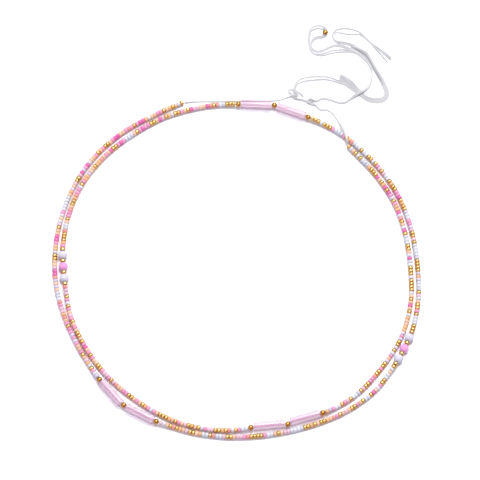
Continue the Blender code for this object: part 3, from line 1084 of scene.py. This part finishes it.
@dataclass
class BigBeads:
    """The tube beads, gold rounds, frosted rounds and gold spacers, and the threads through them."""

    route: StringRoute
    lined: Material
    tube_bore: float = 1.3 * MM
    tube_edge: float = 0.18 * MM
    spacer_bore: float = 0.9 * MM
    spacer_edge: float = 0.32 * MM
    # How many points a ball's outline has, and how many steps make the turn of each kind.
    round_points: int = 18
    frosted_points: int = 22
    tube_turn: int = 64
    round_turn: int = 32
    frosted_turn: int = 40
    spacer_turn: int = 28
    # The waves of the tube's uneven wall: how strong they are, how many there can be round it, and how far
    # round they can start.
    ripple: float = 0.0025
    ripple_waves: tuple[int, int] = (5, 14)
    ripple_reach: float = 6.28
    thread_diameter: float = 0.36 * MM
    thread_points: int = 60
    end_ball_degrees: float = -97.0

    def kinds(self) -> dict[str, BigBead]:
        """Makes each kind of big bead.

        The tube's wall has a factor on its radius: 1 plus a sum of cosines of whole numbers of waves round
        it, each with a drawn strength and a drawn start.

        Returns:
            The kinds by name.
        """
        turn = 2 * math.pi * (np.arange(self.tube_turn) + 0.5) / self.tube_turn
        rng = np.random.default_rng(RIPPLE_START)
        ripple = 1 + sum(self.ripple * rng.normal() * np.cos(k * turn + rng.uniform(0, self.ripple_reach))
                         for k in range(*self.ripple_waves))
        gold = GoldPlate().build()
        opal = EtchedGlass().build()
        pink = EtchedGlass(name="etched_pink_glass", body="#F09AD2", core="#F8B4E2").build()
        tube = tube_outline(TUBE_LENGTH, TUBE_DIAMETER, self.tube_bore, self.tube_edge)
        ball = ball_outline(ROUND_DIAMETER, ROUND_BORE, self.round_points)
        frosted = ball_outline(FROSTED_DIAMETER, FROSTED_BORE, self.frosted_points)
        spacer = tube_outline(SPACER_LENGTH, SEED_DIAMETER, self.spacer_bore, self.spacer_edge)
        clear = ClearPinkGlass().build()
        return {
            "glass_tube": BigBead(tube, TUBE_LENGTH, self.tube_turn, clear, "clear_pink_glass", ripple),
            "gold_round": BigBead(ball, ROUND_DIAMETER, self.round_turn, gold, "gold_plated_brass"),
            "frosted_opal": BigBead(frosted, FROSTED_DIAMETER, self.frosted_turn, opal, "frosted_opal_glass"),
            "frosted_pink": BigBead(frosted, FROSTED_DIAMETER, self.frosted_turn, pink, "frosted_pink_glass"),
            "gold_spacer": BigBead(
                spacer, SPACER_LENGTH, self.spacer_turn, self.lined, "silver_lined_amber_glass"
            ),
        }

    def build(self, thread: Material) -> Object:
        """Sets every big bead and the threads through them.

        Args:
            thread: The thread's material.

        Returns:
            The gold bead on the end of the tie.
        """
        kinds = self.kinds()
        for places, families in BEAD_GROUPS:
            for place, (kind, piece, numbers) in itertools.product(places, families):
                for number in numbers:
                    kinds[kind].place(f"{piece}_{number}{place}", f"{kind}_{number}{place}", self.route)
        for name, (start, end, _) in self.route.groups.items():
            place = name.partition("_")[2]
            line = self.route.at(np.linspace(start - BEAD_GAP, end + BEAD_GAP, self.thread_points))
            make_piece(f"thread_through_{place}", swept(line, self.thread_diameter / 2), [thread],
                       (f"string_through_{place}",))
        return kinds["gold_round"].place("gold_ball_on_tie", "gold_end_bead", self.route,
                                         math.radians(self.end_ball_degrees))


def carried(rows: tuple[tuple[float, ...], ...]) -> Array:
    """Rows of three values as a table, where a last value that is left out is the one of the row before."""
    return np.array(list(itertools.accumulate(rows, lambda before, row: (*row, before[2])[:3])), float)


def tie_line(rows: tuple[tuple[float, ...], ...], diameter: float = TIE_DIAMETER) -> tuple[Array, Array]:
    """The smooth centreline of a tie, from its route's rows of x and y in millimetres and its lift.

    Args:
        rows: The route.
        diameter: The tie's own diameter, which lies on the floor.

    Returns:
        Points at even steps, and the row number that each has reached.
    """
    table = carried(rows)
    height = diameter / 2 + table[:, 2] * (TIE_DIAMETER + TIE_CLEARANCE)
    dense = smooth_curve(np.column_stack([table[:, :2] * MM, height]))
    lengths = distances(dense)
    where = np.linspace(0, lengths[-1], round(lengths[-1] / TIE_STEP))
    return points_at(dense, lengths, where), np.interp(where, lengths, np.arange(len(dense)) / SMOOTH_STEPS)


@dataclass
class ThreadTie:
    """A tie of two fine threads, each a small bundle of fibres, that part and meet along the way."""

    name: str
    rows: tuple[tuple[float, ...], ...]
    nodes: tuple[str, ...]
    threads: tuple[tuple[tuple[float, ...], ...], ...]
    # Where its draws start.
    number: int
    fibres: int = 6
    fibre_diameter: float = 0.23 * MM
    fibre_sides: int = 5
    # What the fibres' loose spread adds to every width, and how thick a thread lies at the most.
    spread_mm: float = 0.32
    thickness: float = 0.34 * MM
    # How far a fibre drifts sideways, as a share of the width, and at how many places that is drawn.
    drift: float = 0.07
    drift_places: int = 30
    # A fibre ends fewer than this many points before the line does.
    ragged: int = 3

    def build(self, thread: Material, pieces: list[Object]) -> Object:
        """Fibre k of a thread stands off the line by the thread's offset plus its own share of the thread's
        width. Its height follows half an ellipse over that width.

        Args:
            thread: The thread's material.
            pieces: The pieces that go with the tie; not used.

        Returns:
            The tie.
        """
        rng = np.random.default_rng(self.number)
        line, reached = tie_line(self.rows)
        lengths = distances(line)
        _, left, _ = axes_along(line)
        floor = line - UP * (TIE_DIAMETER - self.fibre_diameter) / 2
        drift_at = np.linspace(0, lengths[-1], self.drift_places)
        surfaces = []
        for rows in self.threads:
            table = carried(rows)
            offset = np.interp(reached, table[:, 0], table[:, 1]) * MM
            width = (np.interp(reached, table[:, 0], table[:, 2]) + self.spread_mm) * MM
            for share in np.linspace(-1, 1, self.fibres):
                drift = np.interp(lengths, drift_at, rng.normal(0, self.drift, self.drift_places)) * width
                across = offset + share * (width - self.fibre_diameter) / 2 + drift
                rise = math.sqrt(max(0.0, 1 - share * share)) * np.minimum(width, self.thickness) / 2
                cut = len(line) - int(rng.integers(0, self.ragged))
                path = (floor + left * across[:, None] + UP * rise[:, None])[:cut]
                surfaces.append(swept(path, self.fibre_diameter / 2, self.fibre_sides))
        tie = make_piece(self.name, joined(surfaces), [thread], self.nodes)
        LOG.info("%s is %.0f mm long", self.name, lengths[-1] / MM)
        return tie


# The two threads of each tie, as they show: route row, offset to the left of travel in millimetres, and the
# width in millimetres where it changes.
TIE_A_THREADS = (
    (
        (0, 0.05, 0.32), (8, 0.05), (11.2, 0.35, 0.38), (12.9, 0.1, 0.42), (14.1, 0.5), (15, 0.85, 0.45),
        (16, 0.8), (17, 0.6), (21, 0.6), (24, 0.7, 0.5), (26, 0.5, 0.6), (28.2, 0.5), (30, 0.5, 0.45),
        (32, 0.8), (34, 0.5), (38, 0.4, 0.42), (40, 0.3), (42, 0.5), (43.6, 0.1), (44.6, 0.1), (45.6, 0.6),
        (46.5, 0.9), (47.5, 1.2), (48.2, 1.1), (49, 0.8), (50, 0.3), (51, 0.4), (52.2, -0.2), (53.1, -0.4),
        (54.4, -0.9), (55, -1.1, 0.45),
    ),
    (
        (0, -0.05, 0.3), (9, -0.05), (13.8, -0.5, 0.4), (14.9, -0.8, 0.42), (16.8, -0.8), (18, -0.7),
        (19, -0.5), (19.9, -0.2), (20.9, 0.2), (21.9, -0.2), (22.9, 0.0), (24.5, 0.1, 0.5),
        (26, -0.05, 0.6), (28.2, -0.05), (30, 0.0, 0.5), (32, 0.3, 0.42), (34, 0.1), (36, -0.1), (38, 0.0),
        (39.8, -0.6), (41.5, -0.4), (42.4, -0.2), (44, -0.2), (45.5, -0.5, 0.4), (46.8, -1.2), (47.7, -1.6),
        (48.6, -1.0), (49.2, -0.3), (50.2, -0.2), (51.1, 0.1, 0.45), (52.2, 0.7, 0.6), (53.3, 1.0, 0.95),
        (54.6, 1.1, 1.3), (55, 1.1, 1.5),
    ),
)
TIE_B_THREADS = (
    (
        (0, 0.1, 0.36), (12, 0.1), (16, 0.2), (18, 0.28, 0.45), (24, 0.25), (28, 0.2), (31, -0.3),
        (33, -0.4), (36, -0.5), (39, -0.5), (41, -0.3), (43.2, -0.5), (44.7, -0.4), (45.9, 0.1),
        (46.9, 0.6), (47.8, 0.8), (48.8, 0.8, 0.42), (49.9, 0.5, 0.36), (50.6, 0.1, 0.3), (51.6, 0.1),
        (53, -0.3, 0.35), (54, -0.6, 0.42), (55.2, -0.6), (56.5, -0.3), (58, 0.1, 0.45), (62, 0.2),
        (66, 0.1, 0.5), (69, 0.3, 0.45), (72, 0.4), (75, 0.3, 0.5), (77, 0.2, 0.6), (79, 0.2, 0.5),
        (80, 0.2), (82, 0.1, 1.0), (84, -0.5, 1.8), (85, -0.8, 2.0),
    ),
    (
        (0, -0.1, 0.3), (12, -0.1), (16, -0.2, 0.36), (18, -0.25, 0.45), (24, -0.25), (28, -0.2, 0.42),
        (31, 0.05), (34, 0.1), (36, 0.5), (38, 0.6), (40, 0.3), (41, 0.0), (43, -0.9), (45, -0.8),
        (46, -0.5), (48.3, -0.5), (50, -0.2, 0.32), (50.6, -0.1, 0.3), (51.6, -0.1), (53, 0.2, 0.35),
        (54.5, 0.4, 0.42), (56, 0.0), (58, -0.3), (62, -0.3), (64, -0.5), (66, -0.4, 0.45),
        (69, -0.1, 0.42), (72, -0.1), (75, -0.2, 0.5), (77, -0.2, 0.6), (79, 0.1, 0.5), (80, 0.3),
        (82, 0.8, 0.8), (84, 0.9, 1.3), (85, 0.9, 1.7),
    ),
)


@dataclass
class WoundKnot:
    """The knot that joins the ties: threads laid together, with tight turns round them."""

    strand_diameter: float = 0.28 * MM
    core_radius: float = 0.46 * MM
    strands: int = 3
    turns: float = 1.6
    # The strands' distance from the line, in core radii: its middle and the height of its one wave.
    swell: tuple[float, float] = (0.7, 0.3)
    # Where on the line each wrap is, the share of the line that it covers, its turns, core radii and points.
    wraps: tuple[float, ...] = (0.24, 0.86)
    wrap_share: float = 0.13
    wrap_turns: float = 2.5
    wrap_reach: float = 0.95
    wrap_points: int = 48
    stray_diameter: float = 0.2 * MM
    stray_sides: int = 5

    def build(self, thread: Material) -> Object:
        """Winds the strands round the knot's line.

        Strand k runs along the line within the core radius, at an angle that grows by the turns over its
        length. A wrap is a short tight helix just inside the core radius.

        Args:
            thread: The thread's material.

        Returns:
            The knot.
        """
        line, _ = tie_line(TIE_KNOT, 2 * self.core_radius + self.strand_diameter)
        _, left, up = axes_along(line)
        share = np.linspace(0, 1, len(line))
        middle_reach, wave = self.swell
        reach = self.core_radius * (middle_reach + wave * np.cos(2 * math.pi * share))
        paths = [around(line, left, up, reach, 2 * math.pi * (self.turns * share + k / self.strands))
                 for k in range(self.strands)]
        t = np.linspace(0, 1, self.wrap_points)
        for middle in self.wraps:
            centre = points_at(line, share, middle + (t - 0.5) * self.wrap_share)
            at = int(middle * (len(line) - 1))
            paths.append(around(centre, left[at], up[at], self.wrap_reach * self.core_radius,
                                2 * math.pi * self.wrap_turns * t))
        surfaces = [swept(path, self.strand_diameter / 2) for path in paths]
        stray, _ = tie_line(STRAY_END, self.stray_diameter)
        surfaces.append(swept(stray, self.stray_diameter / 2, self.stray_sides))
        return make_piece("thread_knot", joined(surfaces), [thread], ("tie_knot",))


@dataclass
class ThreadBow:
    """The small loop pulled out of the knot."""

    strand_diameter: float = 0.3 * MM
    gap: float = 0.22 * MM
    # How much farther apart the strands part, at the most, and in how many waves.
    parting: float = 0.1 * MM
    waves: float = 1.5

    def build(self, thread: Material) -> Object:
        """Lays two strands along the loop's line, side by side.

        Each stands off the line by half the gap plus the parting times (1 + sin a) / 2, where a grows by a
        turn for each wave.

        Args:
            thread: The thread's material.

        Returns:
            The bow.
        """
        line, _ = tie_line(TIE_BOW)
        _, left, _ = axes_along(line)
        shares = 0.5 + 0.5 * np.sin(np.linspace(0, 2 * math.pi * self.waves, len(line)))
        surfaces = [swept(line + side * left * (self.gap / 2 + self.parting * shares[:, None]),
                          self.strand_diameter / 2) for side in (-1, 1)]
        return make_piece("thread_bow", joined(surfaces), [thread], ("tie_bow",))


@dataclass
class Studio:
    """A plain pale floor, soft light from above and behind, and the camera at the photo's angle."""

    aim: tuple[float, float, float] = (0.0014, 0.0129, 0.0)
    elevation: float = 68.0
    distance: float = 2.0
    metres_per_pixel: float = 0.000425
    image_side: int = 480
    sensor_mm: float = 36.0
    # The nearest and the farthest that the camera sees.
    clip: tuple[float, float] = (0.05, 20.0)
    floor_reach: float = 3.0
    floor_drop: float = 0.00002
    # Each light's name, place, side, power in watts and colour.
    lights: tuple[tuple[str, tuple[float, float, float], float, float, str], ...] = (
        ("soft_key", (0.5, 1.0, 2.3), 1.3, 54.0, "#FFFFFF"),
        ("soft_fill", (-1.6, -0.9, 1.7), 1.0, 10.0, "#F3F0FF"),
    )
    room_low: str = "#8A8692"
    room_high: str = "#F0EEFF"
    room_strength: float = 0.66

    def camera(self) -> None:
        """Stands the camera back from its aim, with the lens that makes a pixel the right size there."""
        data = bpy.data.cameras.new("photo_camera")
        data.sensor_width = self.sensor_mm
        data.lens = self.distance / self.metres_per_pixel / self.image_side * self.sensor_mm
        data.clip_start, data.clip_end = self.clip
        made = added("photo_camera", data)
        tilt = math.radians(self.elevation)
        made.location = (self.aim[0], self.aim[1] - self.distance * math.cos(tilt),
                         self.aim[2] + self.distance * math.sin(tilt))
        made.rotation_euler = (math.radians(90.0 - self.elevation), 0.0, 0.0)
        bpy.context.scene.camera = made

    def floor(self) -> None:
        """A smooth white board that fades into the background."""
        mesh = bpy.data.meshes.new("white_floor")
        corners = [(x * self.floor_reach, y * self.floor_reach, -self.floor_drop)
                   for x, y in ((-1, -1), (1, -1), (1, 1), (-1, 1))]
        mesh.from_pydata(corners, [], [(0, 1, 2, 3)])
        mesh.materials.append(AcrylicBoard().build())
        made = added("white_floor", mesh)

    def light(
        self, name: str, place: tuple[float, float, float], side: float, power: float, tint: str
    ) -> None:
        """A square soft light that faces the middle of the loop.

        Args:
            name: The light's name.
            place: Where it stands.
            side: The length of its side.
            power: Its power in watts.
            tint: Its colour.
        """
        data = bpy.data.lights.new(name, "AREA")
        data.shape = "SQUARE"
        data.size = side
        data.energy = power
        data.color = linear(tint)[:3]
        made = added(name, data)
        made.location = place
        level = math.hypot(place[0], place[1])
        made.rotation_euler = (math.atan2(level, place[2]), 0.0, math.atan2(place[0], -place[1]))

    def build(self) -> None:
        """Sets the whole studio."""
        self.camera()
        self.floor()
        for lamp in self.lights:
            self.light(*lamp)
        world = bpy.data.worlds.new("soft_room")
        world.use_nodes = True
        tree = world.node_tree
        way = add_node(tree, "TexCoord")
        parts = add_node(tree, "SeparateXYZ", {"Vector": way.outputs["Generated"]})
        ramp = add_node(tree, "ValToRGB", {"Fac": parts.outputs["Z"]},
                        ((0.1, self.room_low), (0.75, self.room_high)))
        fill(tree, tree.nodes["Background"], {"Color": ramp, "Strength": self.room_strength})
        bpy.context.scene.world = world
        bpy.context.scene.view_settings.view_transform = "Standard"
        bpy.context.scene.view_settings.look = "None"
        bpy.context.scene.view_settings.exposure = 0.0


def main() -> None:
    """Builds the camera, the ties, the string and the studio."""
    logging.basicConfig(level=logging.INFO, format="%(name)s: %(message)s")
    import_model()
    Studio().build()
    thread = TwistedThread().build()
    route = StringRoute()
    lined = SilverLinedGlass().build()
    end_ball = BigBeads(route, lined).build(thread)
    knot = WoundKnot().build(thread)
    bow = ThreadBow().build(thread)
    ThreadTie("thread_tie_a", TIE_A_LEAD + TIE_A_THROUGH_KNOT + TIE_A_TAIL, ("tie_a_lead", "tie_a_tail"),
              TIE_A_THREADS, 11).build(thread, [knot, bow])
    ThreadTie("thread_tie_b", TIE_B_LEAD + TIE_B_THROUGH_KNOT + TIE_B_OUT + TIE_B_THROUGH_BEAD + TIE_B_BACK,
              ("tie_b_lead", "tie_b_out", "tie_b_back"), TIE_B_THREADS, 12).build(thread, [end_ball])
    run_finishes = [PressedSeedGlass().build(), PearlSeedGlass().build(), lined, thread]
    for (start, end), mix in zip(route.run_ends(), SEED_MIXES):
        SeedRun(mix.number, start, end, mix).build(route, run_finishes)


if __name__ == "__main__":
    main()
